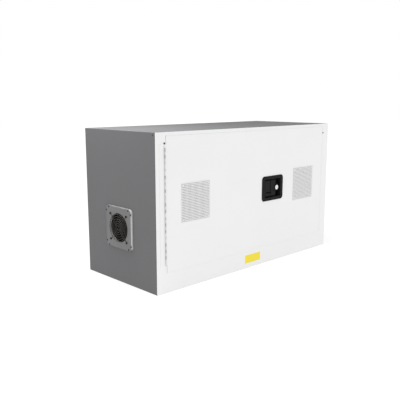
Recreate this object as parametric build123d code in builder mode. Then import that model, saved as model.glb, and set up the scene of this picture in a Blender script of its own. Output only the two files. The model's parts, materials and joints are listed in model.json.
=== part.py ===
"""Countertop battery cabinet: a double-walled steel box with one piano-hinged door, two vents, a key-locked
paddle latch and an exhaust fan. Millimetres. The origin is the centre of the base, the front is -Y, up is +Z."""

import os
from math import cos, radians, sin

from build123d import *

# Cabinet
width = 1092.0  # outside, across the front
depth = 457.0  # outside, front face to back face
height = 610.0
sheet = 1.5  # steel sheet of the shells, the frame and the door
wall = 38.0  # double wall, outside face to inside face
bend = 3.0  # outside radius of a folded edge
clearance = 0.3  # between pieces that are put together by hand
running = 0.08  # radial, between a shaft and its bore

# Door and the frame round it
hinge_stile = 50.0
latch_stile = 47.0
top_rail = 14.0
sill = 79.0
door_gap = 2.0
door_thick = 40.0
seal = 5.0  # room for the gasket between the door and its stop
stop_width = 26.0
stile_hole_r = 3.6
stile_hole_in = 42.0  # from each side of the cabinet
stile_hole_down = 43.0

# Piano hinge
hinge_length = 457.2
knuckle = 12.7
barrel_r = 2.6
pin_r = 1.2
leaf_width = 25.0
leaf_thick = 1.0
hinge_in = 42.0  # pin from the left side of the cabinet

# Vents in the door
vent_size = 152.0
vent_apart = 697.0
vent_open = 120.0
grille_thick = 1.5
grille_rows = 22
grille_pitch = 6.35
slots_per_row = 3
slot_width = 3.2
slot_bridge = 3.0
vent_screw_inset = 10.0
filter_thick = 20.0

# Paddle latch, centred on latch_x
latch_x = 123.5
pan_width = 145.0
pan_height = 111.0
pan_corner = 15.0
pan_flange = 3.0
pocket_width = 110.0
pocket_height = 82.0
pocket_depth = 22.0
pan_wall = 2.0
pan_play = 3.5  # room round the pan in the door's hole, under the flange
key_in = 25.0  # key centre from the pocket's right wall
boss_r = 16.0
lock_r = 11.0
lock_face_r = 13.0
plug_r = 7.0
paddle_thick = 4.0
paddle_pin_r = 2.0
rod_size = 8.0  # square bar
lock_proud = 3.0  # lock behind the pan
paddle_inset = 6.0  # paddle's pin from the pocket's left wall and from the door's face
paddle_margin = 3.0  # paddle to the pocket's top and bottom
paddle_sunk = 1.0  # paddle's face behind the door's face
lip_width = 4.0
lip_length = 16.0
thumb_slot = (30.0, 5.0)
key_slot = (1.6, 8.0, 6.0)  # width, length, depth

# Exhaust fan in the left wall
fan_z = 225.0
fan_size = 120.0
fan_thick = 25.0
fan_bore_r = 58.5
fan_screws = 105.0
fan_hub_r = 20.0
blades = 7
plate_size = 168.0
plate_corner = 15.0
plate_thick = 7.5
wire = 2.0
guard_rings = 6
screw_r = 2.0
head_sides = 10  # small screw heads are many-sided to keep the model light

# Inside
shelf_z = 300.0
shelf_fold = 20.0
strip_length = 420.0
strip_height = 45.0
strip_depth = 40.0
strip_down = 90.0  # from the top of the cabinet
outlets = 8
gland_x = 430.0
gland_z = 75.0
gland_bore_r = 5.0
gland_thread_r = 8.0

# Places worked out from the sizes above
front = -depth / 2
back = depth / 2
left = -width / 2
right = width / 2
pocket = door_thick + seal  # how far the frame folds back round the door
door_left = left + hinge_stile
door_right = right - latch_stile
door_top = height - top_rail
door_width = door_right - door_left
door_height = door_top - sill
door_x = (door_left + door_right) / 2
door_z = (sill + door_top) / 2
opening_width = door_width + 2 * door_gap
opening_height = door_height + 2 * door_gap
clear_width = opening_width - 2 * stop_width
clear_height = opening_height - 2 * stop_width
liner_width = width - 2 * wall
liner_height = height - 2 * wall
liner_front = front + pocket + sheet
liner_back = back - wall
strip_z = height - strip_down
key_x = latch_x + pocket_width / 2 - key_in
skin_back = front + sheet
back_sheet = front + door_thick - sheet  # front face of the door's back sheet
rod_y = back_sheet - rod_size / 2 - 0.5
rod_offset = 14.0
pin_x = left + hinge_in
pin_y = front - barrel_r - 0.1
os.makedirs("parts", exist_ok=True)


def save(part, name):
    """Labels a finished piece and writes its file."""
    part.label = name
    export_step(part, f"parts/{name}.step")


def small_hole(radius, mode=Mode.SUBTRACT):
    """Six-sided hole, as punched for a rivet nut, that a shank of this radius passes with running room."""
    return RegularPolygon(radius + running, 6, major_radius=False, mode=mode)


def facing_front(y):
    """Sketch plane with X across and Z up; a positive extrusion comes towards the front."""
    return Plane(origin=(0, y, 0), x_dir=(1, 0, 0), z_dir=(0, -1, 0))


def facing_left(x):
    """Sketch plane with X towards the front and Z up; a positive extrusion goes out to the left."""
    return Plane(origin=(x, 0, 0), x_dir=(0, -1, 0), z_dir=(-1, 0, 0))


# ---- Cabinet shells ----

shell_depth = depth - sheet - sheet  # between the front frame and the back panel

for panel_name, z, edge in (("base_panel", 0, 0), ("top_panel", height - sheet, -1)):
    with BuildPart() as panel:
        with BuildSketch(Plane.XY.offset(z)):
            with Locations((0, (skin_back + back - sheet) / 2)):
                Rectangle(width, shell_depth)
        extrude(amount=sheet)
        fillet(panel.faces().sort_by(Axis.Z)[edge].edges().filter_by(Axis.Y), bend / 3)
    save(panel.part, panel_name)

for panel_name, x in (("side_panel_left", left + sheet), ("side_panel_right", right)):
    with BuildPart() as panel:
        with BuildSketch(facing_left(x)):
            with Locations((-(skin_back + back - sheet) / 2, height / 2)):
                Rectangle(shell_depth, height - 2 * sheet)
            if x < 0:
                with Locations((0, fan_z)):
                    Circle(fan_bore_r, mode=Mode.SUBTRACT)
                    with GridLocations(fan_screws, fan_screws, 2, 2):
                        small_hole(screw_r)
        extrude(amount=sheet)
    save(panel.part, panel_name)

with BuildPart() as back_panel:
    with BuildSketch(facing_front(back)):
        with Locations((0, height / 2)):
            RectangleRounded(width, height, bend / 3)
        with Locations((gland_x, gland_z)):
            small_hole(gland_thread_r)
    extrude(amount=sheet)
save(back_panel.part, "back_panel")

with BuildPart() as front_frame:
    with BuildSketch(facing_front(skin_back)):
        with Locations((0, height / 2)):
            RectangleRounded(width, height, bend)
        with Locations((door_x, door_z)):
            Rectangle(opening_width, opening_height, mode=Mode.SUBTRACT)
        with Locations((left + stile_hole_in, height - stile_hole_down + 3)):
            RegularPolygon(stile_hole_r, 12, mode=Mode.SUBTRACT)
        with Locations((right - stile_hole_in, height - stile_hole_down)):
            RegularPolygon(stile_hole_r, 12, mode=Mode.SUBTRACT)
    extrude(amount=sheet)
    # Jamb folded back round the opening
    with BuildSketch(facing_front(liner_front)):
        with Locations((door_x, door_z)):
            Rectangle(opening_width + 2 * sheet, opening_height + 2 * sheet)
            Rectangle(opening_width, opening_height, mode=Mode.SUBTRACT)
    extrude(amount=pocket + sheet)
    # Stop behind the door, wide enough to close the double wall's front edge
    stop_low = wall - sheet
    stop_high = door_top + door_gap + sheet
    with BuildSketch(facing_front(liner_front)):
        with Locations((0, (stop_low + stop_high) / 2)):
            Rectangle(liner_width + 2 * sheet, stop_high - stop_low)
        with Locations((door_x, door_z)):
            Rectangle(clear_width, clear_height, mode=Mode.SUBTRACT)
    extrude(amount=sheet)
    # Holes in the jamb that the lock rods shoot into
    with BuildSketch(Plane.XY.offset(door_top)):
        with Locations((key_x - rod_offset, rod_y)):
            Rectangle(rod_size + 4 * clearance, rod_size + 4 * clearance)
    extrude(amount=door_gap + 2 * sheet, mode=Mode.SUBTRACT)
    with BuildSketch(Plane.XY.offset(sill)):
        with Locations((key_x + rod_offset, rod_y)):
            Rectangle(rod_size + 4 * clearance, rod_size + 4 * clearance)
    extrude(amount=-(door_gap + 2 * sheet), mode=Mode.SUBTRACT)
save(front_frame.part, "front_frame")

fan_box_inner = fan_size + 10 * clearance
fan_box_outer = fan_box_inner + 2 * sheet

liner_depth = liner_back - liner_front

for panel_name, z in (("liner_floor", wall - sheet), ("liner_top", height - wall)):
    with BuildPart() as panel:
        with BuildSketch(Plane.XY.offset(z)):
            with Locations((0, (liner_front + liner_back) / 2)):
                Rectangle(liner_width + 2 * sheet, liner_depth)
        extrude(amount=sheet)
    save(panel.part, panel_name)

for panel_name, x in (("liner_left", left + wall), ("liner_right", right - wall + sheet)):
    with BuildPart() as panel:
        with BuildSketch(facing_left(x)):
            with Locations((-(liner_front + liner_back) / 2, height / 2)):
                Rectangle(liner_depth, liner_height)
            if x < 0:
                with Locations((0, fan_z)):
                    Rectangle(fan_box_outer, fan_box_outer, mode=Mode.SUBTRACT)
        extrude(amount=sheet)
    save(panel.part, panel_name)

with BuildPart() as liner_rear:
    with BuildSketch(facing_front(liner_back + sheet)):
        with Locations((0, height / 2)):
            Rectangle(liner_width + 2 * sheet, liner_height + 2 * sheet)
        with Locations((gland_x, gland_z)):
            small_hole(gland_thread_r)
    extrude(amount=sheet)
save(liner_rear.part, "liner_rear")

with BuildPart() as wall_insulation:
    with BuildSketch(facing_front(back - sheet)):
        with Locations((0, height / 2)):
            Rectangle(width - 2 * bend, height - 2 * bend)
    extrude(amount=back - sheet - liner_front)
    with BuildSketch(facing_front(liner_back + sheet)):
        with Locations((0, height / 2)):
            Rectangle(liner_width + 2 * sheet, liner_height + 2 * sheet)
    extrude(amount=liner_back + sheet - liner_front, mode=Mode.SUBTRACT)
    with BuildSketch(facing_left(left)):
        with Locations((0, fan_z)):
            Rectangle(fan_box_outer, fan_box_outer)
    extrude(amount=-wall, mode=Mode.SUBTRACT)
    with BuildSketch(facing_front(back)):
        with Locations((gland_x, gland_z)):
            small_hole(gland_thread_r, Mode.ADD)
    extrude(amount=wall, mode=Mode.SUBTRACT)
save(wall_insulation.part, "wall_insulation")

gasket_inset = 4.0

with BuildPart() as door_gasket:
    with BuildSketch(facing_front(front + pocket)):
        with Locations((door_x, door_z)):
            Rectangle(door_width - 2 * gasket_inset, door_height - 2 * gasket_inset)
            Rectangle(clear_width + gasket_inset, clear_height + gasket_inset, mode=Mode.SUBTRACT)
    extrude(amount=seal - clearance)
save(door_gasket.part, "door_gasket")

# ---- Inside the cabinet ----

shelf_side = clearance
shelf_front = liner_front + 12.0
shelf_back = liner_back - 12.0
shelf_depth = shelf_back - shelf_front

with BuildPart() as shelf:
    with BuildSketch(Plane.XY.offset(shelf_z)):
        with Locations((0, (shelf_front + shelf_back) / 2)):
            Rectangle(liner_width - 2 * shelf_side, shelf_depth)
    extrude(amount=shelf_fold)
    with BuildSketch(Plane.XY.offset(shelf_z)):
        with Locations((0, (shelf_front + shelf_back) / 2)):
            Rectangle(liner_width - 2 * shelf_side - 2 * sheet, shelf_depth - 2 * sheet)
    extrude(amount=shelf_fold - sheet, mode=Mode.SUBTRACT)
    with BuildSketch(Plane.XY.offset(shelf_z)):
        with Locations((0, (shelf_front + shelf_back) / 2)):
            with GridLocations(liner_width / 6, shelf_depth / 3, 5, 2):
                Rectangle(liner_width / 9, 12)
    extrude(amount=shelf_fold, mode=Mode.SUBTRACT)
save(shelf.part, "shelf")

clip_width = 25.0
clip_ledge = 14.0
clip_high = 30.0
clip_apart = shelf_depth - 60.0

with BuildPart() as shelf_clips:
    for side in (-1, 1):
        inside = side * liner_width / 2
        ledge_end = inside - side * clip_ledge
        leg = inside - side * 2 * sheet
        for y in (-clip_apart / 2, clip_apart / 2):
            with BuildSketch(facing_front((shelf_front + shelf_back) / 2 + y + clip_width / 2)):
                with BuildLine():
                    Polyline(
                        (inside, shelf_z),
                        (ledge_end, shelf_z),
                        (ledge_end, shelf_z - 2 * sheet),
                        (leg, shelf_z - 2 * sheet),
                        (leg, shelf_z - clip_high),
                        (inside, shelf_z - clip_high),
                        close=True,
                    )
                make_face()
            extrude(amount=clip_width)
save(shelf_clips.part, "shelf_clips")

outlet_width = 30.0
outlet_height = 32.0
outlet_deep = 4.0
outlet_pitch = strip_length / outlets

with BuildPart() as power_strip:
    with BuildSketch(facing_front(liner_back)):
        with Locations((0, strip_z)):
            Rectangle(strip_length, strip_height)
    extrude(amount=strip_depth)
    chamfer(power_strip.edges().filter_by(Axis.X).group_by(Axis.Y)[0], 4)
    with BuildSketch(facing_front(liner_back - strip_depth)):
        with Locations((0, strip_z)):
            with GridLocations(outlet_pitch, 1, outlets, 1):
                Rectangle(outlet_width, outlet_height)
    extrude(amount=-outlet_deep, mode=Mode.SUBTRACT)
save(power_strip.part, "power_strip")

with BuildPart() as outlet_inserts:
    with BuildSketch(facing_front(liner_back - strip_depth + outlet_deep)):
        with Locations((0, strip_z)):
            with GridLocations(outlet_pitch, 1, outlets, 1):
                Rectangle(outlet_width - clearance, outlet_height - clearance)
    extrude(amount=outlet_deep)
    with BuildSketch(facing_front(liner_back - strip_depth)):
        for slot_x, slot_z, slot_high in ((-6.3, 4, 8), (6.3, 4, 7), (0, -8, 4.5)):
            with Locations((slot_x, strip_z + slot_z)):
                with GridLocations(outlet_pitch, 1, outlets, 1):
                    Rectangle(2.2, slot_high)
    extrude(amount=-outlet_deep / 2, mode=Mode.SUBTRACT)
save(outlet_inserts.part, "outlet_inserts")

gland_out = 18.0
gland_hex_r = 14.0
gland_hex_thick = 8.0
nut_thick = 5.0

with BuildPart() as cable_gland:
    with BuildSketch(facing_front(back + gland_out)):
        with Locations((gland_x, gland_z)):
            Circle(gland_hex_r * 0.8)
    extrude(amount=gland_out)
    chamfer(cable_gland.faces().sort_by(Axis.Y)[-1].edges(), 3)
    with BuildSketch(facing_front(back + gland_hex_thick)):
        with Locations((gland_x, gland_z)):
            RegularPolygon(gland_hex_r, 6)
    extrude(amount=gland_hex_thick)
    with BuildSketch(facing_front(back)):
        with Locations((gland_x, gland_z)):
            Circle(gland_thread_r)
    extrude(amount=wall + 2 * nut_thick)
    with BuildSketch(facing_front(back + gland_out)):
        with Locations((gland_x, gland_z)):
            Circle(gland_bore_r)
    extrude(amount=gland_out + wall + 2 * nut_thick, mode=Mode.SUBTRACT)
save(cable_gland.part, "cable_gland")

with BuildPart() as gland_nut:
    with BuildSketch(facing_front(liner_back)):
        with Locations((gland_x, gland_z)):
            RegularPolygon(gland_hex_r, 6)
            small_hole(gland_thread_r)
    extrude(amount=nut_thick)
save(gland_nut.part, "gland_nut")

# ---- Fan in the left wall ----

fan_outer = left + sheet  # the fan is screwed against the inside of the shell
fan_inner = fan_outer + fan_thick
plate_face = left - plate_thick

with BuildPart() as fan_box:
    with BuildSketch(facing_left(left + wall)):
        with Locations((0, fan_z)):
            Rectangle(fan_box_outer, fan_box_outer)
            Rectangle(fan_box_inner, fan_box_inner, mode=Mode.SUBTRACT)
    extrude(amount=wall - sheet)
save(fan_box.part, "fan_box")

notch_long = 9.0
notch_deep = 2.0
notch_along = 63.5  # from the plate's middle

with BuildPart() as fan_plate:
    with BuildSketch(facing_left(left)):
        with Locations((0, fan_z)):
            RectangleRounded(plate_size, plate_size, plate_corner)
    extrude(amount=plate_thick)
    chamfer(fan_plate.faces().sort_by(Axis.X)[0].edges(), 2.5)
    with BuildSketch(facing_left(plate_face)):
        with Locations((0, fan_z)):
            Circle(fan_bore_r + clearance)
            with GridLocations(fan_screws, fan_screws, 2, 2):
                small_hole(screw_r, Mode.ADD)
    extrude(amount=-plate_thick, mode=Mode.SUBTRACT)
    # Notches near the corners, where a blade lifts the cover
    with BuildSketch(facing_left(plate_face)):
        with Locations((0, fan_z)):
            with GridLocations(2 * notch_along, plate_size - 10, 2, 2):
                Rectangle(notch_long, notch_deep)
            with GridLocations(plate_size - 10, 2 * notch_along, 2, 2):
                Rectangle(notch_deep, notch_long)
    extrude(amount=-2 * notch_deep, mode=Mode.SUBTRACT)
save(fan_plate.part, "fan_plate")

ring_step = fan_bore_r / (guard_rings + 0.4)
ring_sides = 24  # the rings are many-sided to keep the model light
eye_r = 5.0
leg_long = fan_screws * 2**0.5
ring_seat = wire * 0.9  # the rings are welded a little into the legs

with BuildPart() as finger_guard:
    with BuildSketch(facing_left(plate_face)):
        with Locations((0, fan_z)):
            Rectangle(leg_long, wire, rotation=45)
            Rectangle(leg_long, wire, rotation=-45)
            with GridLocations(fan_screws, fan_screws, 2, 2):
                RegularPolygon(eye_r, 8)
            with GridLocations(fan_screws, fan_screws, 2, 2):
                small_hole(screw_r)
    extrude(amount=wire)
    for ring in range(1, guard_rings + 1):
        with BuildSketch(facing_left(plate_face - ring_seat)):
            with Locations((0, fan_z)):
                RegularPolygon(ring * ring_step + wire / 2, ring_sides)
                RegularPolygon(ring * ring_step - wire / 2, ring_sides, mode=Mode.SUBTRACT)
        extrude(amount=wire)
save(finger_guard.part, "finger_guard")

stator_thick = 5.0
shaft_r = 2.0
rotor_gap = 1.0
strut = 4.0

with BuildPart() as fan_housing:
    with BuildSketch(facing_left(fan_inner)):
        with Locations((0, fan_z)):
            RectangleRounded(fan_size, fan_size, 6)
            Circle(fan_bore_r, mode=Mode.SUBTRACT)
            with GridLocations(fan_screws, fan_screws, 2, 2):
                small_hole(screw_r)
    extrude(amount=fan_thick)
    # Motor mount and the struts that carry it across the bore
    with BuildSketch(facing_left(fan_inner)):
        with Locations((0, fan_z)):
            Circle(fan_hub_r)
            with PolarLocations((fan_bore_r + fan_hub_r) / 2, 4, start_angle=20):
                Rectangle(fan_bore_r - fan_hub_r + 4, strut)
            small_hole(shaft_r)
    extrude(amount=stator_thick)
save(fan_housing.part, "fan_housing")

hub_back = fan_inner - stator_thick - rotor_gap
hub_front = fan_outer + 2 * rotor_gap
blade_x = (hub_back + hub_front) / 2
blade_chord = 22.0
blade_thick = 1.6
blade_pitch = 40.0
blade_root = fan_hub_r - 3
blade_tip = fan_bore_r - 4.5

with BuildPart() as fan_rotor:
    with BuildSketch(facing_left(hub_back)):
        with Locations((0, fan_z)):
            Circle(fan_hub_r - rotor_gap)
    extrude(amount=hub_back - hub_front)
    with BuildSketch(facing_left(fan_inner)):
        with Locations((0, fan_z)):
            Circle(shaft_r)
    extrude(amount=fan_inner - hub_back)
    # Pitched blades, each extruded outwards from inside the hub
    for blade in range(blades):
        turn = radians(360 * blade / blades)
        outward = (0, sin(turn), cos(turn))
        origin = (blade_x, blade_root * outward[1], fan_z + blade_root * outward[2])
        with BuildSketch(Plane(origin=origin, x_dir=(1, 0, 0), z_dir=outward)):
            Rectangle(blade_chord, blade_thick, rotation=90 - blade_pitch)
        extrude(amount=blade_tip - blade_root)
save(fan_rotor.part, "fan_rotor")

with BuildPart() as guard_screws:
    with BuildSketch(facing_left(plate_face - wire)):
        with Locations((0, fan_z)):
            with GridLocations(fan_screws, fan_screws, 2, 2):
                RegularPolygon(2 * screw_r, head_sides)
    extrude(amount=1.2 * screw_r)
    chamfer(guard_screws.faces().group_by(Axis.X)[0].edges(), 1)
    with BuildSketch(facing_left(fan_inner - 2)):
        with Locations((0, fan_z)):
            with GridLocations(fan_screws, fan_screws, 2, 2):
                RegularPolygon(screw_r, 6)
    extrude(amount=fan_inner - 2 - plate_face + wire)
save(guard_screws.part, "guard_screws")

# ---- Piano hinge ----

hinge_low = door_z - hinge_length / 2
knuckles = int(hinge_length / knuckle)
leaf_start = barrel_r + clearance


def hinge_leaf(side, first):
    """One leaf: a plate on the face, and every second knuckle from the first; side -1 is the frame's."""
    with BuildPart() as leaf:
        with BuildSketch(facing_front(front)):
            with Locations((pin_x + side * (leaf_start + leaf_width) / 2, door_z)):
                Rectangle(leaf_width - leaf_start, hinge_length)
        extrude(amount=leaf_thick)
        for i in range(first, knuckles, 2):
            with BuildSketch(Plane.XY.offset(hinge_low + i * knuckle + clearance / 2)):
                with Locations((pin_x, pin_y)):
                    RegularPolygon(barrel_r, 8)
                with Locations((pin_x + side * (leaf_start + leaf_thick) / 2, front - leaf_thick / 2)):
                    Rectangle(leaf_start + leaf_thick, leaf_thick)
                with Locations((pin_x, pin_y)):
                    small_hole(pin_r)
            extrude(amount=knuckle - clearance)
    return leaf.part


save(hinge_leaf(-1, 0), "hinge_frame_leaf")
save(hinge_leaf(1, 1), "hinge_door_leaf")

with BuildPart() as hinge_pin:
    with BuildSketch(Plane.XY.offset(hinge_low)):
        with Locations((pin_x, pin_y)):
            Circle(pin_r)
    extrude(amount=hinge_length)
save(hinge_pin.part, "hinge_pin")

# ---- Door ----

vent_x = [door_x - vent_apart / 2, door_x + vent_apart / 2]
pan_hole_width = pocket_width + 2 * pan_wall + 2 * pan_play
pan_hole_height = pocket_height + 2 * pan_wall + 2 * pan_play
sleeve_outer = vent_open + 2 * sheet
screw_apart = vent_size - 2 * vent_screw_inset

with BuildPart() as door_skin:
    with BuildSketch(facing_front(front + door_thick)):
        with Locations((door_x, door_z)):
            Rectangle(door_width, door_height)
    extrude(amount=door_thick)
    with BuildSketch(facing_front(front + door_thick)):
        with Locations((door_x, door_z)):
            Rectangle(door_width - 2 * sheet, door_height - 2 * sheet)
    extrude(amount=door_thick - sheet, mode=Mode.SUBTRACT)
    with BuildSketch(facing_front(skin_back)):
        for x in vent_x:
            with Locations((x, door_z)):
                Rectangle(vent_open, vent_open)
                with GridLocations(screw_apart, screw_apart, 2, 2):
                    small_hole(screw_r, Mode.ADD)
        with Locations((latch_x, door_z)):
            Rectangle(pan_hole_width, pan_hole_height)
    extrude(amount=2 * sheet, mode=Mode.SUBTRACT)
    # Holes in the folded edges for the two lock rods
    with BuildSketch(Plane.XY.offset(door_top)):
        with Locations((key_x - rod_offset, rod_y)):
            Rectangle(rod_size + 2 * clearance, rod_size + 2 * clearance)
    extrude(amount=-2 * sheet, mode=Mode.SUBTRACT)
    with BuildSketch(Plane.XY.offset(sill)):
        with Locations((key_x + rod_offset, rod_y)):
            Rectangle(rod_size + 2 * clearance, rod_size + 2 * clearance)
    extrude(amount=2 * sheet, mode=Mode.SUBTRACT)
save(door_skin.part, "door_skin")

with BuildPart() as door_back:
    with BuildSketch(facing_front(front + door_thick)):
        with Locations((door_x, door_z)):
            Rectangle(door_width - 2 * sheet - clearance, door_height - 2 * sheet - clearance)
        for x in vent_x:
            with Locations((x, door_z)):
                Rectangle(sleeve_outer, sleeve_outer, mode=Mode.SUBTRACT)
    extrude(amount=sheet)
save(door_back.part, "door_back")

channel = rod_size + 14

with BuildPart() as door_core:
    with BuildSketch(facing_front(back_sheet)):
        with Locations((door_x, door_z)):
            Rectangle(door_width - 2 * sheet, door_height - 2 * sheet)
        for x in vent_x:
            with Locations((x, door_z)):
                Rectangle(sleeve_outer, sleeve_outer, mode=Mode.SUBTRACT)
        with Locations((latch_x, door_z)):
            Rectangle(pan_hole_width, pan_hole_height, mode=Mode.SUBTRACT)
    extrude(amount=back_sheet - skin_back)
    # Channels for the rods behind the latch
    with BuildSketch(facing_front(back_sheet)):
        with Locations((key_x - rod_offset, (door_z + door_top) / 2)):
            Rectangle(channel, door_height / 2)
        with Locations((key_x + rod_offset, (door_z + sill) / 2)):
            Rectangle(channel, door_height / 2)
    extrude(amount=rod_size + 4, mode=Mode.SUBTRACT)
save(door_core.part, "door_core")

with BuildPart() as vent_screws:
    with BuildSketch(facing_front(front - grille_thick)):
        for x in vent_x:
            with Locations((x, door_z)):
                with GridLocations(screw_apart, screw_apart, 2, 2):
                    RegularPolygon(2 * screw_r, head_sides)
    extrude(amount=screw_r)
    chamfer(vent_screws.faces().group_by(Axis.Y)[0].edges(), screw_r / 2)
    with BuildSketch(facing_front(skin_back)):
        for x in vent_x:
            with Locations((x, door_z)):
                with GridLocations(screw_apart, screw_apart, 2, 2):
                    RegularPolygon(screw_r, 6)
    extrude(amount=sheet + grille_thick)
save(vent_screws.part, "vent_screws")

grille_inside = vent_size - 2 * grille_pitch
slot_length = (grille_inside - (slots_per_row - 1) * slot_bridge) / slots_per_row
retainer_width = 6.0
filter_size = vent_open - 2 * clearance
filter_back = skin_back + filter_thick

for vent_name, x in zip(("left", "right"), vent_x):
    with BuildPart() as vent_grille:
        with BuildSketch(facing_front(front)):
            with Locations((x, door_z)):
                Rectangle(vent_size, vent_size)
                with GridLocations(slot_length + slot_bridge, grille_pitch, slots_per_row, grille_rows):
                    Rectangle(slot_length, slot_width, mode=Mode.SUBTRACT)
                # Solid corners round the screws
                with GridLocations(screw_apart, screw_apart, 2, 2):
                    Rectangle(5 * screw_r, 5 * screw_r)
                    small_hole(screw_r)
        extrude(amount=grille_thick)
    save(vent_grille.part, f"vent_grille_{vent_name}")

    with BuildPart() as vent_sleeve:
        with BuildSketch(facing_front(front + door_thick)):
            with Locations((x, door_z)):
                Rectangle(sleeve_outer, sleeve_outer)
                Rectangle(vent_open, vent_open, mode=Mode.SUBTRACT)
        extrude(amount=door_thick - sheet)
    save(vent_sleeve.part, f"vent_sleeve_{vent_name}")

    with BuildPart() as vent_filter:
        with BuildSketch(facing_front(filter_back)):
            with Locations((x, door_z)):
                Rectangle(filter_size, filter_size)
        extrude(amount=filter_thick + sheet - clearance)
    save(vent_filter.part, f"vent_filter_{vent_name}")

with BuildPart() as filter_retainers:
    with BuildSketch(facing_front(filter_back + sheet)):
        for x in vent_x:
            with Locations((x, door_z)):
                Rectangle(filter_size, filter_size)
                Rectangle(filter_size - 2 * retainer_width, filter_size - 2 * retainer_width, mode=Mode.SUBTRACT)
                Rectangle(filter_size - retainer_width, retainer_width)
                Rectangle(retainer_width, filter_size - retainer_width)
    extrude(amount=sheet)
save(filter_retainers.part, "filter_retainers")

# ---- Paddle latch ----

pocket_floor = front + pocket_depth
pan_back = pocket_floor + pan_wall
lock_back = pan_back + lock_proud
paddle_pin_x = latch_x - pocket_width / 2 + paddle_inset
paddle_pin_y = front + paddle_inset
paddle_face = front + paddle_sunk
paddle_high = pocket_height - 2 * paddle_margin
paddle_left = paddle_pin_x - paddle_pin_r
paddle_right = key_x - lock_r + paddle_margin
lip_apart = paddle_high - lip_length - 2

with BuildPart() as latch_pan:
    with BuildSketch(facing_front(front)):
        with Locations((latch_x, door_z)):
            RectangleRounded(pan_width, pan_height, pan_corner)
    extrude(amount=pan_flange)
    chamfer(latch_pan.faces().sort_by(Axis.Y)[0].edges(), pan_flange / 2)
    with BuildSketch(facing_front(pan_back)):
        with Locations((latch_x, door_z)):
            Rectangle(pocket_width + 2 * pan_wall, pocket_height + 2 * pan_wall)
    extrude(amount=pan_back - front)
    with BuildSketch(facing_front(pocket_floor)):
        with Locations((latch_x, door_z)):
            Rectangle(pocket_width, pocket_height)
    extrude(amount=pocket_depth + pan_flange, mode=Mode.SUBTRACT)
    # Hole in the floor for the lock
    with BuildSketch(facing_front(pan_back)):
        with Locations((key_x, door_z)):
            Circle(lock_r + running)
    extrude(amount=2 * pan_wall, mode=Mode.SUBTRACT)
    with BuildSketch(Plane.XY.offset(door_z - pocket_height / 2 - pan_wall)):
        with Locations((paddle_pin_x, paddle_pin_y)):
            small_hole(paddle_pin_r, Mode.ADD)
    extrude(amount=pocket_height + 2 * pan_wall, mode=Mode.SUBTRACT)
save(latch_pan.part, "latch_pan")

with BuildPart() as lock_housing:
    with BuildSketch(facing_front(pocket_floor)):
        with Locations((key_x, door_z)):
            Circle(boss_r)
            Circle(lock_r + running, mode=Mode.SUBTRACT)
    extrude(amount=pocket_floor - front - 2)
save(lock_housing.part, "lock_housing")

with BuildPart() as latch_paddle:
    with BuildSketch(facing_front(paddle_face + paddle_thick)):
        with Locations(((paddle_left + paddle_right) / 2, door_z)):
            Rectangle(paddle_right - paddle_left, paddle_high)
        with Locations((key_x, door_z)):
            Circle(boss_r + 2, mode=Mode.SUBTRACT)
    extrude(amount=paddle_thick)
    # Finger lip turned back along the free edge, above and below the lock
    for lip_z in (door_z - lip_apart / 2, door_z + lip_apart / 2):
        with BuildSketch(facing_front(paddle_face + 2.5 * paddle_thick)):
            with Locations((paddle_right - lip_width / 2, lip_z)):
                Rectangle(lip_width, lip_length)
        extrude(amount=2 * paddle_thick)
    with BuildSketch(facing_front(paddle_face)):
        with Locations((paddle_left + thumb_slot[0], door_z - paddle_high / 4)):
            Rectangle(*thumb_slot)
    extrude(amount=-paddle_thick / 2, mode=Mode.SUBTRACT)
    with BuildSketch(Plane.XY.offset(door_z - paddle_high / 2)):
        with Locations((paddle_pin_x, paddle_pin_y)):
            RegularPolygon(2 * paddle_pin_r, 12)
    extrude(amount=paddle_high)
    with BuildSketch(Plane.XY.offset(door_z - paddle_high / 2)):
        with Locations((paddle_pin_x, paddle_pin_y)):
            small_hole(paddle_pin_r, Mode.ADD)
    extrude(amount=paddle_high, mode=Mode.SUBTRACT)
save(latch_paddle.part, "latch_paddle")

with BuildPart() as paddle_pin:
    with BuildSketch(Plane.XY.offset(door_z - pocket_height / 2 - pan_wall)):
        with Locations((paddle_pin_x, paddle_pin_y)):
            Circle(paddle_pin_r)
    extrude(amount=pocket_height + 2 * pan_wall)
save(paddle_pin.part, "paddle_pin")

lock_face = front - 1.0

with BuildPart() as lock_cylinder:
    with BuildSketch(facing_front(lock_back)):
        with Locations((key_x, door_z)):
            Circle(lock_r)
    extrude(amount=lock_back - lock_face)
    with BuildSketch(facing_front(front + 2)):
        with Locations((key_x, door_z)):
            Circle(lock_face_r)
    extrude(amount=front + 2 - lock_face)
    chamfer(lock_cylinder.faces().sort_by(Axis.Y)[0].edges(), 1)
    with BuildSketch(facing_front(lock_back)):
        with Locations((key_x, door_z)):
            Circle(plug_r + running)
    extrude(amount=lock_back - lock_face, mode=Mode.SUBTRACT)
save(lock_cylinder.part, "lock_cylinder")

cam_front = lock_back + clearance
cam_thick = 2.0

with BuildPart() as key_plug:
    with BuildSketch(facing_front(cam_front)):
        with Locations((key_x, door_z)):
            Circle(plug_r)
    extrude(amount=cam_front - lock_face - 0.5)
    with BuildSketch(facing_front(lock_face + 0.5)):
        with Locations((key_x, door_z)):
            Rectangle(key_slot[0], key_slot[1])
    extrude(amount=-key_slot[2], mode=Mode.SUBTRACT)
save(key_plug.part, "key_plug")

with BuildPart() as lock_cam:
    with BuildSketch(facing_front(cam_front + cam_thick)):
        with Locations((key_x, door_z)):
            Rectangle(2 * rod_offset + rod_size, rod_size)
            RegularPolygon(plug_r + 1, 12)
    extrude(amount=cam_thick)
save(lock_cam.part, "lock_cam")

rod_start = plug_r + 3  # from the key's middle to the near end of a rod
guide_width = 14.0
guide_long = 16.0
guide_wall = 2.0
guide_near = 60.0  # first guide from the key
guide_end = 30.0  # last guide from the rod's end

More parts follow.
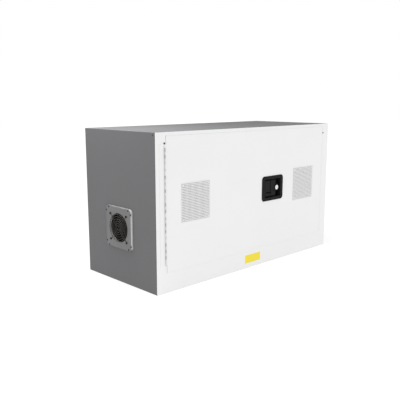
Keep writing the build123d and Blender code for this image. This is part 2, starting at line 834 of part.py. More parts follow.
for rod_name, side, end in (("top", -1, door_top), ("bottom", 1, sill)):
    rod_x = key_x + side * rod_offset
    up = -side  # the top rod runs up, the bottom one down
    with BuildPart() as lock_rod:
        with BuildSketch(Plane.XY.offset(door_z + up * rod_start)):
            with Locations((rod_x, rod_y)):
                Rectangle(rod_size, rod_size)
        extrude(amount=end - up * clearance - door_z - up * rod_start)
    save(lock_rod.part, f"lock_rod_{rod_name}")

with BuildPart() as rod_guides:
    for side, end in ((-1, door_top), (1, sill)):
        rod_x = key_x + side * rod_offset
        up = -side
        for guide_z in (door_z + up * guide_near, end - up * guide_end):
            with BuildSketch(Plane.XY.offset(guide_z - guide_long / 2)):
                with Locations((rod_x, (back_sheet + rod_y - rod_size / 2 - guide_wall) / 2)):
                    Rectangle(guide_width, back_sheet - rod_y + rod_size / 2 + guide_wall)
                with Locations((rod_x, rod_y)):
                    Rectangle(rod_size + clearance, rod_size + clearance, mode=Mode.SUBTRACT)
            extrude(amount=guide_long)
save(rod_guides.part, "rod_guides")
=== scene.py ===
import json
from math import pi, radians

import bmesh
import bpy
import numpy as np
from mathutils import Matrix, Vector


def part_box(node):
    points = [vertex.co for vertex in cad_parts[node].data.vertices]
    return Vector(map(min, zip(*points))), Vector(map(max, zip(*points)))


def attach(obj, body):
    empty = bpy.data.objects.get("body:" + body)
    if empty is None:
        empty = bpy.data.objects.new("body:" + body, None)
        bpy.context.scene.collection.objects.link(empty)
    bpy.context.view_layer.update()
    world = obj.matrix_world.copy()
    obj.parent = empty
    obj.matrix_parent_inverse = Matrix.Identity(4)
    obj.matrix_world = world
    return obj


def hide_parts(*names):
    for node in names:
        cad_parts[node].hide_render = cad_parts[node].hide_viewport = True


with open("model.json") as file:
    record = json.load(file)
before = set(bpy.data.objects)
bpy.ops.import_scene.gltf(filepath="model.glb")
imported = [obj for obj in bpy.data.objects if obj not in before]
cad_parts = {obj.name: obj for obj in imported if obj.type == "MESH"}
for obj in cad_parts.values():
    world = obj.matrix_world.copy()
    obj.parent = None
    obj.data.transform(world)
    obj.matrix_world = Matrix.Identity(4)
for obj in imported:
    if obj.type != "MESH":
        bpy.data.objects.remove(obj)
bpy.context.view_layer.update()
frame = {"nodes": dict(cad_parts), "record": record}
nodes = frame["nodes"]
mm = 0.001

print("stage: materials")


class Wire:
    # One socket of a material, so that shader sums read as Python sums
    def __init__(self, graph, socket):
        self.graph = graph
        self.socket = socket

    def math(self, operation, first, second):
        return self.graph.node("ShaderNodeMath", {"operation": operation}, {0: first, 1: second})

    def __add__(self, other):
        return self.math("ADD", self, other)

    __radd__ = __add__

    def __mul__(self, other):
        return self.math("MULTIPLY", self, other)

    __rmul__ = __mul__

    def __sub__(self, other):
        return self.math("SUBTRACT", self, other)

    def __rsub__(self, other):
        return self.math("SUBTRACT", other, self)

    def __abs__(self):
        return self.graph.node("ShaderNodeMath", {"operation": "ABSOLUTE"}, {0: self})

    def larger(self, other):
        return self.math("MAXIMUM", self, other)


class Finish:
    # A material whose nodes are added by one method
    def __init__(self, name):
        self.material = bpy.data.materials.new(name)
        self.material.use_nodes = True
        self.tree = self.material.node_tree
        self.tree.nodes.clear()
        self.place = self.node("ShaderNodeTexCoord", out="Object")

    def node(self, kind, settings=(), values=(), out=0):
        # settings are the node's own choices, set first; values go to its sockets, and a wire is linked
        made = self.tree.nodes.new(kind)
        for key, value in dict(settings).items():
            setattr(made, key, value)
        for key, value in dict(values).items():
            if isinstance(value, Wire):
                self.tree.links.new(value.socket, made.inputs[key])
            else:
                made.inputs[key].default_value = value
        return Wire(self, made.outputs[out]) if made.outputs else None

    def noise(self, scale, detail=3.0, stretch=None):
        # stretch multiplies the coordinates, so the noise is finer along an axis whose number is higher
        place = self.place
        if stretch:
            place = self.node("ShaderNodeMapping", {}, {"Vector": place, "Scale": stretch})
        return self.node("ShaderNodeTexNoise", {}, {"Vector": place, "Scale": scale, "Detail": detail})

    def smooth(self, value, low, high):
        # 0 below low, 1 above high, with a soft step between
        settings = {"interpolation_type": "SMOOTHSTEP"}
        return self.node("ShaderNodeMapRange", settings, {0: value, 1: low, 2: high})

    def blendColours(self, share, first, second):
        # first where share is 0, second where it is 1
        values = {0: share, 6: (*first, 1), 7: (*second, 1)}
        return self.node("ShaderNodeMix", {"data_type": "RGBA"}, values, out=2)

    def nearPlane(self, axis, value, reach, soft):
        # 1 within reach of the plane where the coordinate is value, falling to 0 over soft
        along = self.node("ShaderNodeSeparateXYZ", {}, {0: self.place}, out=axis)
        return 1 - self.smooth(abs(along - value), reach, reach + soft)

    def bump(self, height, strength, distance):
        values = {"Height": height, "Strength": strength, "Distance": distance}
        return self.node("ShaderNodeBump", {}, values)

    def finish(self, values):
        shader = self.node("ShaderNodeBsdfPrincipled", {}, values)
        self.node("ShaderNodeOutputMaterial", {}, {"Surface": shader})
        return self.material


def scaled(colour, share, lift=0.0):
    return [share * c + lift for c in colour]


def powderCoat(name, colour, roughness, specular=0.5):
    # Baked powder paint: orange peel about 1.5 mm across, faint cloudy gloss and rare specks of dust
    coat = Finish(name)
    peel = coat.noise(620.0, 2.0)
    cloud = coat.noise(5.0, 4.0)
    speck = coat.smooth(coat.noise(260.0, 1.0), 0.74, 0.80)
    return coat.finish(
        {
            "Base Color": coat.blendColours(cloud * 0.5 + speck * 0.25, colour, scaled(colour, 0.93)),
            "Roughness": roughness + (cloud - 0.5) * 0.12 + speck * 0.1,
            "Specular IOR Level": specular,
            "Normal": coat.bump(peel, 0.18, 0.00012),
        }
    )


def mouldedPlastic(name, colour, roughness, specular=0.3):
    # Spark-eroded texture of fine grains, lighter and a little shinier where it is rubbed
    plastic = Finish(name)
    grain = plastic.noise(1800.0, 1.0)
    rub = plastic.smooth(plastic.noise(22.0, 4.0), 0.35, 0.75)
    return plastic.finish(
        {
            "Base Color": plastic.blendColours(rub * 0.6, colour, scaled(colour, 1.35, 0.004)),
            "Roughness": roughness - rub * 0.08 + grain * 0.06,
            "Specular IOR Level": specular,
            "Normal": plastic.bump(grain, 0.25, 0.00008),
        }
    )


def platedSteel(name, colour, roughness, stretch=(1, 1, 1)):
    # Plated steel: a fine grain, drawn out into lines by stretch, and a little dull tarnish
    steel = Finish(name)
    grain = steel.noise(900.0, 2.0, stretch)
    tarnish = steel.smooth(steel.noise(60.0, 4.0), 0.45, 0.8)
    return steel.finish(
        {
            "Base Color": steel.blendColours(tarnish * 0.5, colour, scaled(colour, 0.75)),
            "Metallic": 1.0,
            "Roughness": roughness + grain * 0.12 + tarnish * 0.1,
            "Normal": steel.bump(grain, 0.12, 0.00005),
        }
    )


def rimHighlightPlastic(name, colour, edge, towards, roughness):
    # Moulded plastic with a painted highlight: lighter where its surface faces along towards, the edge of
    # the highlight broken up by noise
    plastic = Finish(name)
    grain = plastic.noise(1800.0, 1.0)
    facing = plastic.node("ShaderNodeNewGeometry", out="Normal")
    values = {0: facing, 1: towards}
    along = plastic.node("ShaderNodeVectorMath", {"operation": "DOT_PRODUCT"}, values, out=1)
    # rub here is the painted highlight on the edges that face forward and up, not wear
    rub = plastic.smooth(along + (plastic.noise(90.0, 3.0) - 0.5) * 0.3, 0.3, 0.6)
    return plastic.finish(
        {
            "Base Color": plastic.blendColours(rub, colour, edge),
            "Roughness": roughness + grain * 0.06,
            "Specular IOR Level": 0.4,
            "Normal": plastic.bump(grain, 0.2, 0.00008),
        }
    )


# Where shade is painted on the paddle: across from its left edge, down from its middle, and half the width
# of each band
paddlePaintedShade = {
    "edgeHalf": 4 * mm,
    "sideHalf": 3.5 * mm,
    "stepAcross": 41 * mm,
    "stepHalf": 2.2 * mm,
    "stepSoft": 0.8 * mm,
    "slotAcross": 25 * mm,
    "slotDown": 19 * mm,
    "slotHalfWidth": 14 * mm,
    "slotHalfHeight": 3 * mm,
    "soft": 1 * mm,
}


def paddlePlastic(name, colour, groove, low, high):
    # Black plastic with painted shade, nearly lightless, along three of its edges, at its step and in its
    # thumb slot
    plastic = Finish(name)
    shade = paddlePaintedShade
    soft = shade["soft"]
    dark = plastic.nearPlane(0, low.x, shade["edgeHalf"], soft)
    for z in (low.z, high.z):
        dark = dark.larger(plastic.nearPlane(2, z, shade["sideHalf"], soft))
    step = plastic.nearPlane(0, low.x + shade["stepAcross"], shade["stepHalf"], shade["stepSoft"])
    slotZ = (low.z + high.z) / 2 - shade["slotDown"]
    slotAcross = plastic.nearPlane(0, low.x + shade["slotAcross"], shade["slotHalfWidth"], soft)
    slotUp = plastic.nearPlane(2, slotZ, shade["slotHalfHeight"], soft)
    dark = dark.larger(step).larger(slotAcross * slotUp)
    grain = plastic.noise(1800.0, 1.0)
    return plastic.finish(
        {
            "Base Color": plastic.blendColours(dark, colour, groove),
            "Roughness": 0.55 + dark * 0.3 + grain * 0.06,
            "Specular IOR Level": 0.1,
            "Normal": plastic.bump(grain, 0.25, 0.00008),
        }
    )


def fibre(name, colour, scale):
    # Felted fibres: two crossed stretched noises, with darker hollows
    felt = Finish(name)
    across = felt.noise(scale, 5.0, (1.0, 1.0, 6.0))
    upright = felt.noise(scale, 5.0, (6.0, 1.0, 1.0))
    tangle = across * 0.5 + upright * 0.5
    return felt.finish(
        {
            "Base Color": felt.blendColours(tangle, scaled(colour, 0.7), colour),
            "Roughness": 0.9 + tangle * 0.08,
            "Specular IOR Level": 0.2,
            "Normal": felt.bump(tangle, 0.5, 0.0006),
        }
    )


def shadedKnuckle(name, colour, knuckleShade):
    # Painted shade on the hinge knuckles: the paint blended by noise towards a grey, greyer on some
    # knuckles than on others
    barrel = Finish(name)
    # rub is the share of painted shade, not wear
    rub = barrel.smooth(barrel.noise(42.0, 3.0), 0.3, 0.6)
    grain = barrel.noise(700.0, 2.0)
    return barrel.finish(
        {
            "Base Color": barrel.blendColours(rub * 0.6 + 0.4, colour, knuckleShade),
            "Roughness": 0.45 + grain * 0.1,
            "Normal": barrel.bump(grain, 0.15, 0.0001),
        }
    )


def stickerVinyl(name, colour, roughness):
    # Coloured vinyl with a slight mottle
    vinyl = Finish(name)
    mottle = vinyl.noise(340.0, 3.0)
    return vinyl.finish(
        {
            "Base Color": vinyl.blendColours(mottle * 0.35, colour, scaled(colour, 0.86, 0.006)),
            "Roughness": roughness + mottle * 0.12,
            "Normal": vinyl.bump(mottle, 0.1, 0.00004),
        }
    )


paint = {
    "grey": (0.137, 0.137, 0.141),
    "white": (0.83, 0.83, 0.83),
    "grille": (0.80, 0.80, 0.80),
    "fanCover": (0.140, 0.140, 0.142),
    # painted highlight colour for the fan cover's forward and upper edges
    "fanCoverRimHighlight": (0.55, 0.55, 0.55),
    "paddle": (0.011, 0.011, 0.0115),
    # painted shade colour for the paddle's edges, step and thumb slot
    "groove": (0.0015, 0.0015, 0.0015),
    "black": (0.0085, 0.0085, 0.009),
    "fanBlack": (0.010, 0.008, 0.007),
    "guard": (0.085, 0.078, 0.072),
    # greys of painted shade on the hinge knuckles: darker for the frame's, lighter for the door's
    "knuckle": (0.40, 0.40, 0.405),
    "lightKnuckle": (0.62, 0.62, 0.62),
    "outlet": (0.10, 0.10, 0.105),
    "wool": (0.10, 0.095, 0.085),
    "filter": (0.50, 0.50, 0.50),
    "gauze": (0.18, 0.183, 0.188),
    "rubber": (0.02, 0.02, 0.021),
    "bright": (0.86, 0.86, 0.85),
    "zinc": (0.62, 0.62, 0.60),
    "yellow": (0.88, 0.72, 0.03),
    "floor": (0.46, 0.46, 0.46),
    "floorCloud": (0.44, 0.44, 0.44),
}
# the way that the painted highlight on the fan cover's edges faces
fanRimHighlightFacing = (0.0, -0.85, 0.55)  # the way that the light edge of the fan cover faces
paddleLow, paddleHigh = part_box("latch_paddle")

finishes = {
    "grey": powderCoat("greyPaint", paint["grey"], 0.78, 0.3),
    "white": powderCoat("whitePaint", paint["white"], 0.38),
    "grille": powderCoat("grillePaint", paint["grille"], 0.42),
    "fanCover": rimHighlightPlastic("fanCoverGrey", paint["fanCover"], paint["fanCoverRimHighlight"], fanRimHighlightFacing, 0.42),
    "paddle": paddlePlastic("paddleBlack", paint["paddle"], paint["groove"], paddleLow, paddleHigh),
    "black": mouldedPlastic("blackPlastic", paint["black"], 0.55, 0.1),
    "fanBlack": mouldedPlastic("fanBlack", paint["fanBlack"], 0.5, 0.12),
    "outlet": mouldedPlastic("outletGrey", paint["outlet"], 0.5),
    "wool": fibre("mineralWool", paint["wool"], 220.0),
    "filter": fibre("filterMedia", paint["filter"], 300.0),
    "gauze": fibre("ventGauze", paint["gauze"], 500.0),
    "rubber": mouldedPlastic("gasketRubber", paint["rubber"], 0.8, 0.2),
    "bright": platedSteel("brightPlate", paint["bright"], 0.12),
    "guard": platedSteel("guardWire", paint["guard"], 0.3),
    "knuckle": shadedKnuckle("shadedKnuckles", paint["white"], paint["knuckle"]),
    "lightKnuckle": shadedKnuckle("lessShadedKnuckles", paint["white"], paint["lightKnuckle"]),
    "zinc": platedSteel("zincPlate", paint["zinc"], 0.32, (1, 1, 12)),
    "yellow": stickerVinyl("yellowVinyl", paint["yellow"], 0.42),
}

slotFinish = {
    "grey_paint": "grey",
    "white_paint": "white",
    "grille_white": "grille",
    "insulation": "wool",
    "filter_media": "filter",
    "gasket_black": "rubber",
    "fan_cover_grey": "fanCover",
    "black_plastic": "black",
    "outlet_grey": "outlet",
    "bright_steel": "bright",
    "zinc_steel": "zinc",
    "white_screws": "white",
}

for entry in frame["record"]["subparts"]:
    dressed = nodes[entry["node"]]
    dressed.data.materials.clear()
    dressed.data.materials.append(finishes[slotFinish[entry["material_slot"]]])

for dark in ("fan_housing", "fan_rotor"):
    nodes[dark].data.materials[0] = finishes["fanBlack"]

print("stage: pieces")


def smoothShaded(mesh, sharpAbove):
    mesh.polygons.foreach_set("use_smooth", np.ones(len(mesh.polygons), dtype=bool))
    mesh.set_sharp_from_angle(angle=radians(sharpAbove))


def makePiece(name, points, faces, finish, body, sharpAbove):
    # A mesh from arrays of points and faces, merged, pointing outwards, with its place in the mesh
    mesh = bpy.data.meshes.new(name)
    mesh.from_pydata([tuple(p) for p in points], [], [tuple(f) for f in faces])
    work = bmesh.new()
    work.from_mesh(mesh)
    bmesh.ops.remove_doubles(work, verts=work.verts, dist=1e-6)
    bmesh.ops.recalc_face_normals(work, faces=work.faces)
    work.to_mesh(mesh)
    work.free()
    smoothShaded(mesh, sharpAbove)
    piece = bpy.data.objects.new(name, mesh)
    bpy.context.scene.collection.objects.link(piece)
    mesh.materials.append(finishes[finish])
    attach(piece, body)
    return piece


def gridFaces(rows, columns, wrapRows=False, wrapColumns=False):
    # Quads over a grid of points stored row by row
    i = np.arange(rows if wrapRows else rows - 1)[:, None]
    j = np.arange(columns if wrapColumns else columns - 1)[None, :]
    a = i * columns + j
    b = i * columns + (j + 1) % columns
    c = ((i + 1) % rows) * columns + (j + 1) % columns
    d = ((i + 1) % rows) * columns + j
    return np.stack([a, b, c, d], axis=-1).reshape(-1, 4).tolist()


def cappedFaces(rows, columns):
    # Quads over rings stored one after another, with one face closing the first ring and one the last
    first = list(range(columns))
    last = list(range((rows - 1) * columns, rows * columns))
    return gridFaces(rows, columns, wrapColumns=True) + [first, last]


def atDepth(flat, axis, depth):
    # Flat points of two coordinates, with depth put in as the third at the given axis
    return np.insert(flat, axis, depth, axis=-1)


def rectangle(left, right, low, high):
    return np.array([(left, low), (right, low), (right, high), (left, high)])


def closedPlate(outline, axis, near, far):
    # A flat outline carried straight along an axis from near to far, closed at both ends
    points = np.concatenate([atDepth(outline, axis, near), atDepth(outline, axis, far)])
    return points, cappedFaces(2, len(outline))


def joined(parts):
    # Several (points, faces) pairs as one pair
    points, faces, count = [], [], 0
    for some, theirs in parts:
        points.append(np.asarray(some))
        faces += [[v + count for v in face] for face in theirs]
        count += len(some)
    return np.concatenate(points), faces


def softened(node, body, width, segments=2, finish=None):
    # A copy of a solid with its flats merged and its edges rounded; it stands for the node
    mesh = nodes[node].data.copy()
    work = bmesh.new()
    work.from_mesh(mesh)
    bmesh.ops.remove_doubles(work, verts=work.verts, dist=1e-6)
    bmesh.ops.dissolve_limit(work, angle_limit=radians(2), verts=work.verts, edges=work.edges)
    work.to_mesh(mesh)
    work.free()
    name = "".join(w.capitalize() for w in node.split("_")) + "Finished"
    piece = bpy.data.objects.new(name[0].lower() + name[1:], mesh)
    bpy.context.scene.collection.objects.link(piece)
    bevel = piece.modifiers.new("edges", "BEVEL")
    bevel.width = width
    bevel.segments = segments
    bevel.limit_method = "ANGLE"
    bevel.angle_limit = radians(40)
    bevel.use_clamp_overlap = True
    smoothShaded(mesh, 50)
    if finish:
        mesh.materials.clear()
        mesh.materials.append(finishes[finish])
    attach(piece, body)
    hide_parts(node)
    return piece


# Vents: fine perforated sheet with gauze behind its holes. holeShare is a hole's radius over the pitch.
grille = {"cells": 24, "holeShare": 0.335, "gauze": 0.25 * mm, "gauzeInset": 3 * mm}


def perforatedSheet(name, node):
    # Each cell of the square lattice is a square ring of eight quads round an eight-sided hole, in front
    # and behind, with the hole's wall between them
    low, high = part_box(node)
    corner = np.array([low.x, low.z])
    cells = grille["cells"]
    pitch = (high.x - low.x) / cells
    turn = np.arange(8) * pi / 4
    circle = np.stack([np.cos(turn), np.sin(turn)], axis=1)
    square = circle / np.abs(circle).max(axis=1, keepdims=True) * pitch / 2
    hole = circle * pitch * grille["holeShare"]
    middle = (np.arange(cells) + 0.5) * pitch
    centres = np.stack(np.meshgrid(middle, middle, indexing="ij"), axis=-1).reshape(-1, 1, 2)
    layers = ((square, low.y), (hole, low.y), (hole, high.y), (square, high.y))
    rings = [atDepth(centres + outline + corner, 1, y) for outline, y in layers]
    points = np.stack(rings, axis=1).reshape(-1, 3)
    firstPoints = np.arange(cells * cells)[:, None, None] * len(layers) * 8
    cell = np.array(gridFaces(len(layers), 8, wrapColumns=True))
    faces = (firstPoints + cell).reshape(-1, 4).tolist()
    # Outside edge of the sheet, in steps that meet the cells
    step = np.arange(2 * cells + 1) * pitch / 2
    zero = 0 * step
    whole = zero + step[-1]
    sides = ((step, zero), (whole, step), (step[::-1], whole), (zero, step[::-1]))
    outline = np.concatenate([np.stack(side, axis=1)[:-1] for side in sides]) + corner
    edge = np.concatenate([atDepth(outline, 1, y) for y in (low.y, high.y)])
    points, faces = joined([(points, faces), (edge, gridFaces(2, len(outline), wrapColumns=True))])
    sheet = makePiece(name, points, faces, "grille", "door", 30)
    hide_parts(node)


def ventGauze(name, node):
    # A thin closed plate across the holes, flush with the back of the sheet
    low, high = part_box(node)
    inset = grille["gauzeInset"]
    outline = rectangle(low.x + inset, high.x - inset, low.z + inset, high.z - inset)
    plate = closedPlate(outline, 1, high.y - grille["gauze"], high.y)
    makePiece(name, *plate, "gauze", "door", 30)


for side in ("left", "right"):
    perforatedSheet("ventGrille" + side.capitalize(), "vent_grille_" + side)
    ventGauze("ventGauze" + side.capitalize(), "vent_grille_" + side)

# Screws: a dome of radius R, h = H * sqrt(1 - (r/R)^2 * 0.9), with a cross sunk in it where |x| or |y| is
# under crossHalf of R, and a short skirt down to the seat
screw = {"rows": 14, "columns": 32, "crossReach": 0.55, "crossHalf": 0.16, "crossDepth": 0.45}


def screwHead(centre, outward, size):
    rows, columns = screw["rows"], screw["columns"]
    radius, height = size["radius"], size["height"]
    r = np.linspace(0.02, 1, rows)[:, None]
    a = (np.arange(columns) * 2 * pi / columns)[None, :]
    x, y = r * np.cos(a), r * np.sin(a)
    h = np.sqrt(1 - 0.9 * r**2) * height + 0 * a
    arm = (np.minimum(np.abs(x), np.abs(y)) < screw["crossHalf"]) & (r < screw["crossReach"])
    h = h - arm * screw["crossDepth"] * height
    x = np.vstack([x, x[-1:]]) * radius
    y = np.vstack([y, y[-1:]]) * radius
    h = np.vstack([h, np.zeros((1, columns))])
    axis = Vector(outward)
    side = axis.orthogonal().normalized()
    up = axis.cross(side)
    points = np.array(centre) + x[..., None] * np.array(side) + y[..., None] * np.array(up)
    points = (points + h[..., None] * np.array(axis)).reshape(-1, 3)
    return points, cappedFaces(rows + 1, columns)


def screwSet(name, node, places, outward, size, finish, body):
    # One piece for all the screws of a node, which it stands for
    heads = [screwHead(place, outward, size) for place in places]
    piece = makePiece(name, *joined(heads), finish, body, 50)
    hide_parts(node)


forward = (0, -1, 0)
leftward = (-1, 0, 0)
ventScrew = {"inset": 10 * mm, "radius": 4.2 * mm, "height": 1.9 * mm}
places = []
for node in ("vent_grille_left", "vent_grille_right"):
    low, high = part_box(node)
    for x in (low.x + ventScrew["inset"], high.x - ventScrew["inset"]):
        for z in (low.z + ventScrew["inset"], high.z - ventScrew["inset"]):
            places.append((x, low.y, z))
screwSet("ventScrewHeads", "vent_screws", places, forward, ventScrew, "white", "door")

fanScrew = {"inset": 4 * mm, "seat": 2.4 * mm, "radius": 4 * mm, "height": 2.3 * mm}
low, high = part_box("guard_screws")
places = []
for y in (low.y + fanScrew["inset"], high.y - fanScrew["inset"]):
    for z in (low.z + fanScrew["inset"], high.z - fanScrew["inset"]):
        places.append((low.x + fanScrew["seat"], y, z))
screwSet("fanScrewHeads", "guard_screws", places, leftward, fanScrew, "black", "cabinet")

# Black plugs in the two stile holes. They stay clear of the hinge's top knuckle, which turns with the door.
plug = {"in": 42 * mm, "leftDown": 40 * mm, "rightDown": 43 * mm, "radius": 3.8 * mm, "height": 0.9 * mm}
frontLow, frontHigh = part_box("front_frame")
places = (
    (frontLow.x + plug["in"], frontLow.y, frontHigh.z - plug["leftDown"]),
    (frontHigh.x - plug["in"], frontLow.y, frontHigh.z - plug["rightDown"]),
)
plugHeads = [screwHead(place, forward, plug) for place in places]
stilePlugs = makePiece("stilePlugs", *joined(plugHeads), "black", "cabinet", 50)

# One small screw in the left wall
wall = {"back": 15 * mm, "down": 9.7 * mm, "radius": 2.4 * mm, "height": 0.9 * mm}
wallPlace = (frontLow.x, frontLow.y + wall["back"], frontHigh.z - wall["down"])
wallScrew = makePiece("wallScrew", *screwHead(wallPlace, leftward, wall), "black", "cabinet", 50)

# Finger guard: round wire. A ring is a wire circle of radius w carried round a circle of radius R.
guard = {
    "rings": 6,
    "step": 58.5 / 6.4 * mm,
    "wire": 1.0 * mm,
    "screwSquare": 105 * mm,
    "eye": 4.0 * mm,
    "eyeGap": 3.6 * mm,
}
low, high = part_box("finger_guard")
guardZ = (low.z + high.z) / 2
guardY = (low.y + high.y) / 2


def ringWire(x, y, z, radius, wire, around=72, section=8):
    u = (np.arange(around) * 2 * pi / around)[:, None]
    v = (np.arange(section) * 2 * pi / section)[None, :]
    reach = radius + wire * np.cos(v)
    points = [x + wire * np.sin(v) + 0 * u, y + reach * np.cos(u), z + reach * np.sin(u)]
    return np.stack(points, axis=-1).reshape(-1, 3), gridFaces(around, section, True, True)


def rodBetween(start, end, radius, section=10):
    # A straight round bar: a circle square to it at each end, closed by a flat face
    start, end = np.array(start, dtype=float), np.array(end, dtype=float)
    axis = Vector(end - start).normalized()
    side = np.array(axis.orthogonal().normalized())
    up = np.cross(np.array(axis), side)
    a = (np.arange(section) * 2 * pi / section)[:, None]
    circle = (np.cos(a) * side + np.sin(a) * up) * radius
    return np.concatenate([start + circle, end + circle]), cappedFaces(2, section)


parts = []
legX = high.x - guard["wire"]
ringX = low.x + guard["wire"]
for i in range(1, guard["rings"] + 1):
    parts.append(ringWire(ringX, guardY, guardZ, guard["step"] * i, guard["wire"]))
half = guard["screwSquare"] / 2
inner = guard["step"] / half / 2**0.5
tip = (half - guard["eyeGap"]) / half
for sy in (-1, 1):
    for sz in (-1, 1):
        near = (legX, guardY + sy * half * inner, guardZ + sz * half * inner)
        far = (legX, guardY + sy * half * tip, guardZ + sz * half * tip)
        eye = (legX, guardY + sy * half, guardZ + sz * half)
        parts.append(rodBetween(near, far, guard["wire"]))
        parts.append(ringWire(*eye, guard["eye"], guard["wire"], 24))
fingerGuard = makePiece("fingerGuardWires", *joined(parts), "guard", "cabinet", 60)
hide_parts("finger_guard")

# Rotor: a hub with a domed front, and blades whose pitch falls from root to tip. With u from 0 at the root
# to 1 at the tip, and v from -0.5 to 0.5 across the chord, a blade's point is at
#   angle = lean * u + chord * v * cos(pitch) / radius
#   depth = depthShare * chord * v * sin(pitch) + camber * (1 - 4 v^2), and to each side of it
#   halfThick * (1 - (2 v)^4)
rotor = {
    "blades": 7,
    "hub": 19 * mm,
    "hubSunk": 0.5 * mm,
    "hubSides": 48,
    "root": 17 * mm,
    "tip": 54.5 * mm,
    "middle": 8.5 * mm,
    "chord": 26 * mm,
    "lean": 0.35,
    "rootPitch": 50,
    "twist": 22,
    "depthShare": 0.62,
    "camber": 1.0 * mm,
    "halfThick": 0.7 * mm,
    "rows": 12,
    "columns": 9,
}
# Hub profile: share of the hub's radius, and depth in mm
hubProfile = np.array(
    [[0.0, 0.0], [0.55, 0.0], [0.85, 0.6], [0.98, 2.2], [1.0, 4.5], [1.0, 16.0], [0.0, 16.0]]
)
low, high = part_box("fan_rotor")
a = (np.arange(rotor["hubSides"]) * 2 * pi / rotor["hubSides"])[None, :]
r = np.maximum(hubProfile[:, :1], 0.01) * rotor["hub"]
hubX = low.x + rotor["hubSunk"] + hubProfile[:, 1:] * mm + 0 * a
hubPoints = np.stack([hubX, guardY + r * np.cos(a), guardZ + r * np.sin(a)], axis=-1)
parts = [(hubPoints.reshape(-1, 3), cappedFaces(len(hubProfile), rotor["hubSides"]))]
u = np.linspace(0, 1, rotor["rows"])[:, None]
v = np.linspace(-0.5, 0.5, rotor["columns"])[None, :]
radius = rotor["root"] + (rotor["tip"] - rotor["root"]) * u
pitch = np.radians(rotor["rootPitch"] - rotor["twist"] * u)
chord = rotor["chord"] * (0.8 + 0.25 * u)
bladeX = low.x + rotor["middle"] + chord * rotor["depthShare"] * v * np.sin(pitch)
bladeX = bladeX + rotor["camber"] * (1 - 4 * v**2)
for blade in range(rotor["blades"]):
    angle = blade * 2 * pi / rotor["blades"] + rotor["lean"] * u + chord * v * np.cos(pitch) / radius
    bladeY = guardY + radius * np.cos(angle)
    bladeZ = guardZ + radius * np.sin(angle)
    sides = []
    for thick in (rotor["halfThick"], -rotor["halfThick"]):
        sides.append(np.stack([bladeX + thick * (1 - (2 * v) ** 4), bladeY, bladeZ], axis=-1))
    loop = np.concatenate([sides[0], sides[1][:, ::-1]], axis=1)
    parts.append((loop.reshape(-1, 3), cappedFaces(rotor["rows"], 2 * rotor["columns"])))
fanRotor = makePiece("fanRotorBlades", *joined(parts), "fanBlack", "fan_rotor", 40)
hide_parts("fan_rotor")

# Moulded and pressed pieces with their edges rounded, by the widths given here
softened("fan_plate", "cabinet", 1.2 * mm, 3)
softened("latch_pan", "door", 0.9 * mm, 3)
softened("lock_housing", "door", 0.9 * mm, 3)
softened("latch_paddle", "paddle", 0.8 * mm, 3, "paddle")

# Collar round the lock: a flat ring, closed by an inner and an outer wall
collar = {"inner": 10.2 * mm, "outer": 13.3 * mm, "stand": 0.4 * mm, "depth": 1.5 * mm, "sides": 48}
low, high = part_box("lock_cylinder")
lockX = (low.x + high.x) / 2
lockZ = (low.z + high.z) / 2
front = low.y - collar["stand"]
rear = low.y + collar["depth"]
a = np.arange(collar["sides"]) * 2 * pi / collar["sides"]
rings = []
for r, y in (
    (collar["inner"], rear),
    (collar["inner"], front),
    (collar["outer"], front),
    (collar["outer"], rear),
):
    rings.append(atDepth(np.stack([lockX + r * np.cos(a), lockZ + r * np.sin(a)], axis=1), 1, y))
collarFaces = gridFaces(len(rings), collar["sides"], True, True)
lockCollar = makePiece("lockCollar", np.concatenate(rings), collarFaces, "black", "door", 40)

# Eight slots in the fan cover's rim, two at each corner, as painted shade: thin dark insets on its face
rim = {
    "places": ((64 * mm, 78 * mm), (80 * mm, 63 * mm)),  # across and up from the fan's middle
    "across": 5.5 * mm,
    "up": 7 * mm,
    "sunk": 1.5 * mm,
    "stand": 0.15 * mm,
}
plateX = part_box("fan_plate")[0].x
slotShadeInsets = []
for sy in (-1, 1):
    for sz in (-1, 1):
        for across, up in rim["places"]:
            y = guardY + sy * across
            z = guardZ + sz * up
            halfY = rim["across"] / 2
            halfZ = rim["up"] / 2
            outline = rectangle(y - halfY, y + halfY, z - halfZ, z + halfZ)
            slotShadeInsets.append(closedPlate(outline, 0, plateX + rim["sunk"], plateX - rim["stand"]))
makePiece("fanCoverSlotShade", *joined(slotShadeInsets), "fanBlack", "cabinet", 30)
softened("power_strip", "cabinet", 1.0 * mm)

# Hinge knuckles: round bars over the leaves' many-sided ones, every second one on the door. They are
# filled, so the pin runs through them out of sight.
hinge = {"knuckle": 12.7 * mm, "radius": 2.68 * mm, "gap": 0.3 * mm, "sides": 20}
low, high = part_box("hinge_pin")
hingeX = (low.x + high.x) / 2
hingeY = (low.y + high.y) / 2
count = int((high.z - low.z) / hinge["knuckle"])
# the frame's knuckles get the darker painted shade, the door's the lighter
for first, body, name, finish in (
    (0, "cabinet", "hingeKnucklesFrame", "knuckle"),
    (1, "door", "hingeKnucklesDoor", "lightKnuckle"),
):
    bars = []
    for i in range(first, count, 2):
        z = low.z + i * hinge["knuckle"] + hinge["gap"] / 2
        top = z + hinge["knuckle"] - hinge["gap"]
        bars.append(rodBetween((hingeX, hingeY, z), (hingeX, hingeY, top), hinge["radius"], hinge["sides"]))
    knuckles = makePiece(name, *joined(bars), finish, body, 40)

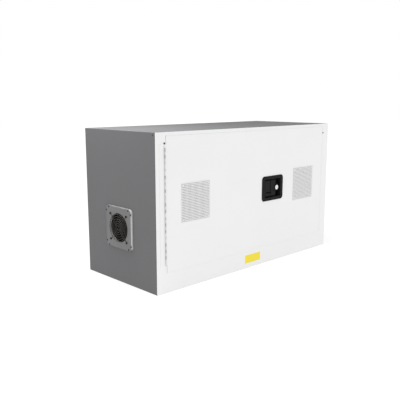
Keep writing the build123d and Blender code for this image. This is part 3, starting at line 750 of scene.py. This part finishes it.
# White lip on the frame: it fills most of the gap over and under the door, and less than half of the gap to
# the right, where the door's edge needs room to swing
lip = {"sunk": 0.5 * mm, "deep": 2.0 * mm, "clear": 0.2 * mm, "swingClear": 1.1 * mm, "gap": 2.0 * mm}
low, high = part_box("door_skin")
lipFront = low.y + lip["sunk"]
strips = []
for left, right, bottom, top in (
    (low.x, high.x + lip["gap"], high.z + lip["clear"], high.z + lip["gap"]),
    (low.x, high.x + lip["gap"], low.z - lip["gap"], low.z - lip["clear"]),
    (high.x + lip["swingClear"], high.x + lip["gap"], low.z - lip["clear"], high.z + lip["clear"]),
):
    strips.append(closedPlate(rectangle(left, right, lipFront, lipFront + lip["deep"]), 2, bottom, top))
frameLip = makePiece("frameLip", *joined(strips), "white", "cabinet", 30)

print("stage: sticker")


def roundedBox(x, z, wide, tall, corner, steps=6):
    # Four quarter circles, one at each corner, joined by straight runs
    turn = np.linspace(0, pi / 2, steps)
    points = []
    for k, (sx, sz) in enumerate(((1, 1), (-1, 1), (-1, -1), (1, -1))):
        angle = turn + k * pi / 2
        cx = sx * (wide / 2 - corner)
        cz = sz * (tall / 2 - corner)
        points.append(np.stack([cx + corner * np.cos(angle), cz + corner * np.sin(angle)], axis=1))
    return np.concatenate(points) + np.array([x, z])


# Plain yellow sticker on the bottom rail
sticker = {
    "fromLeft": 543 * mm,
    "fromTop": 570 * mm,
    "width": 100 * mm,
    "height": 36 * mm,
    "corner": 2.5 * mm,
    "thick": 0.2 * mm,
}
outline = roundedBox(
    frontLow.x + sticker["fromLeft"],
    frontHigh.z - sticker["fromTop"],
    sticker["width"],
    sticker["height"],
    sticker["corner"],
)
stickerPlate = closedPlate(outline, 1, frontLow.y, frontLow.y - sticker["thick"])
makePiece("yellowSticker", *stickerPlate, "yellow", "cabinet", 30)

print("stage: light and camera")
studio = {
    "world": 1.0,
    "cameraAt": (-1.8081, -1.7742, 0.7288),
    "lookAt": (-0.1052, 0.0, 0.2809),
    "lens": 50.0,
    "sensor": 36.0,
    "floorHalf": 12.0,
    "floorGlow": 0.62,
    "softboxAt": (-0.58, 0.10, 1.15),
    "softboxAim": (-0.50, 0.05, 0.61),
    "softboxSize": 0.5,
    "softboxPower": 6.5,
}

world = bpy.data.worlds.new("studio")
bpy.context.scene.world = world
world.use_nodes = True
background = world.node_tree.nodes["Background"]
background.inputs["Color"].default_value = (1, 1, 1, 1)
background.inputs["Strength"].default_value = studio["world"]

floorFinish = Finish("paleFloor")
floorCloud = floorFinish.noise(3.0, 2.0)
floorFinish.finish(
    {
        "Base Color": floorFinish.blendColours(floorCloud, paint["floor"], paint["floorCloud"]),
        "Roughness": 0.9 + floorCloud * 0.05,
        "Specular IOR Level": 0.1,
        "Emission Color": (1, 1, 1, 1),
        "Emission Strength": studio["floorGlow"],
    }
)
half = studio["floorHalf"]
floorMesh = bpy.data.meshes.new("floor")
floorMesh.from_pydata(atDepth(rectangle(-half, half, -half, half), 2, 0).tolist(), [], [(0, 1, 2, 3)])
floorMesh.materials.append(floorFinish.material)
floor = bpy.data.objects.new("floor", floorMesh)
bpy.context.scene.collection.objects.link(floor)


def aimed(name, data, place, aim):
    # A lamp or camera at place, turned to look at aim
    made = bpy.data.objects.new(name, data)
    made.location = place
    made.rotation_euler = (Vector(aim) - Vector(place)).to_track_quat("-Z", "Y").to_euler()
    bpy.context.scene.collection.objects.link(made)
    return made


softbox = bpy.data.lights.new("topLeftBox", "AREA")
softbox.shape = "RECTANGLE"
softbox.size = studio["softboxSize"]
softbox.size_y = studio["softboxSize"]
softbox.energy = studio["softboxPower"]
aimed("topLeftBox", softbox, studio["softboxAt"], studio["softboxAim"])

cameraData = bpy.data.cameras.new("camera")
cameraData.lens = studio["lens"]
cameraData.sensor_width = studio["sensor"]
bpy.context.scene.camera = aimed("camera", cameraData, studio["cameraAt"], studio["lookAt"])
bpy.context.scene.view_settings.view_transform = "Standard"
